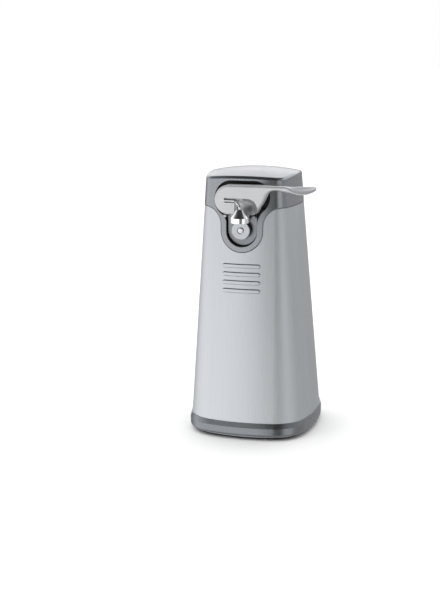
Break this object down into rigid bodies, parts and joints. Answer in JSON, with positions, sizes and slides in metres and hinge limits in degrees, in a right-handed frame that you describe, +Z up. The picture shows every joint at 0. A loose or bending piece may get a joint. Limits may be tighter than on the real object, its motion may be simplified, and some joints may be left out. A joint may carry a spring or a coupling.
{
  "type": "electric can opener",
  "caption": "Countertop electric can opener: tapered brushed-steel tower on a plastic plinth, with a plastic head, removable cutting lever, swinging lid magnet and feed wheel.",
  "frame": {"origin": "centre of the body's footprint, on the surface it stands on", "axes": "+Z up; the front with the lever and the feed wheel faces -Y; the lever's handle points to +X"},
  "size_m": [0.1209, 0.1313, 0.2305],
  "materials": {
    "steel_body": "vertically brushed stainless steel",
    "head_plastic": "metallic grey, fine satin",
    "base_plastic": "metallic grey, fine satin",
    "foot_rubber": "black, matt",
    "lever_plastic": "light metallic silver, satin",
    "chrome": "polished chrome plate",
    "bright_steel": "bright turned steel",
    "machined_steel": "turned steel",
    "plated_steel": "zinc plate, spangled",
    "screw_steel": "zinc plate",
    "gear_plastic": "natural white acetal",
    "pinion_brass": "turned brass",
    "core_iron": "stacked laminations",
    "copper": "enamelled copper",
    "magnet_black": "sintered ferrite and carbon",
    "frame_plastic": "moulded black nylon"
  },
  "bodies": {
    "body": {"body_shell": "steel_body", "head_housing": "head_plastic", "base_ring": "base_plastic", "bottom_cover": "base_plastic", "rear_cover": "base_plastic", "cord_inlet": "base_plastic", "foot_ring": "foot_rubber", "guide_plate": "bright_steel", "can_guide_studs": "bright_steel", "gear_axles": "machined_steel", "gearbox_pillars": "machined_steel", "gearbox_front_plate": "plated_steel", "gearbox_rear_plate": "plated_steel", "motor_can": "plated_steel", "base_screws": "screw_steel", "gearbox_screws": "screw_steel", "frame_screws": "screw_steel", "motor_screws": "screw_steel", "terminal_screws": "screw_steel", "drive_bush_front": "pinion_brass", "drive_bush_rear": "pinion_brass", "lever_bush_front": "pinion_brass", "lever_bush_rear": "pinion_brass", "motor_bearing_front": "pinion_brass", "motor_bearing_rear": "pinion_brass", "motor_magnets": "magnet_black", "brushes": "magnet_black", "support_frame": "frame_plastic", "motor_end_cap": "frame_plastic", "switch_body": "frame_plastic", "terminal_block": "frame_plastic"},
    "drive": {"drive_wheel": "bright_steel", "drive_shaft": "bright_steel", "drive_clip": "machined_steel", "output_gear": "gear_plastic"},
    "second_gear": {"second_gear": "gear_plastic"},
    "first_gear": {"first_gear": "gear_plastic"},
    "rotor": {"motor_pinion": "pinion_brass", "motor_shaft": "machined_steel", "armature_core": "core_iron", "armature_windings": "copper", "commutator": "copper", "cooling_fan": "frame_plastic"},
    "lever_hub": {"lever_hub": "machined_steel", "hub_clip": "machined_steel", "lever_spring": "machined_steel"},
    "lever": {"lever": "lever_plastic", "cutter_axle": "bright_steel", "cutter_washer": "bright_steel"},
    "cutter": {"cutting_wheel": "bright_steel"},
    "magnet_arm": {"magnet_arm": "chrome", "arm_collar": "chrome"},
    "magnet": {"magnet_cup": "chrome", "magnet": "magnet_black"},
    "switch_plunger": {"switch_plunger": "frame_plastic"}
  },
  "joints": [
    {"name": "motor_spin", "type": "hinge", "parent": "body", "child": "rotor", "pos_m": [0, 0, 0.1173], "axis": [0, -1, 0], "continuous": true},
    {"name": "first_gear_spin", "type": "hinge", "parent": "body", "child": "first_gear", "pos_m": [-0.001, -0.025, 0.13527], "axis": [0, -1, 0], "continuous": true},
    {"name": "second_gear_spin", "type": "hinge", "parent": "body", "child": "second_gear", "pos_m": [-0.01, -0.028, 0.15622], "axis": [0, -1, 0], "continuous": true},
    {"name": "drive_spin", "type": "hinge", "parent": "body", "child": "drive", "pos_m": [0, -0.045, 0.1813], "axis": [0, -1, 0], "continuous": true},
    {"name": "lever_lift", "type": "hinge", "parent": "body", "child": "lever_hub", "pos_m": [-0.009, -0.043, 0.207], "axis": [0, -1, 0], "range_deg": [-3, 30]},
    {"name": "lever_pull_off", "type": "slide", "parent": "lever_hub", "child": "lever", "axis": [0, -1, 0], "range_m": [0, 0.02]},
    {"name": "cutter_spin", "type": "hinge", "parent": "lever", "child": "cutter", "pos_m": [0, -0.0522, 0.1951], "axis": [0, -1, 0], "continuous": true},
    {"name": "magnet_swing", "type": "hinge", "parent": "lever", "child": "magnet_arm", "pos_m": [-0.016, -0.0569, 0.2069], "axis": [-1, 0, 0], "range_deg": [0, 50]},
    {"name": "magnet_tilt", "type": "hinge", "parent": "magnet_arm", "child": "magnet", "pos_m": [0.0029, -0.0635, 0.1986], "axis": [0, 1, 0], "range_deg": [-8, 8]},
    {"name": "switch_press", "type": "slide", "parent": "body", "child": "switch_plunger", "axis": [0, 0, 1], "range_m": [-0.0036, 0.0005]}
  ],
  "couplings": [
    {"joint": "first_gear_spin", "follows": "motor_spin", "ratio": -0.2},
    {"joint": "second_gear_spin", "follows": "motor_spin", "ratio": 0.053333},
    {"joint": "drive_spin", "follows": "motor_spin", "ratio": -0.015238},
    {"joint": "switch_press", "follows": "lever_lift", "m_per_rad": -0.0066}
  ]
}
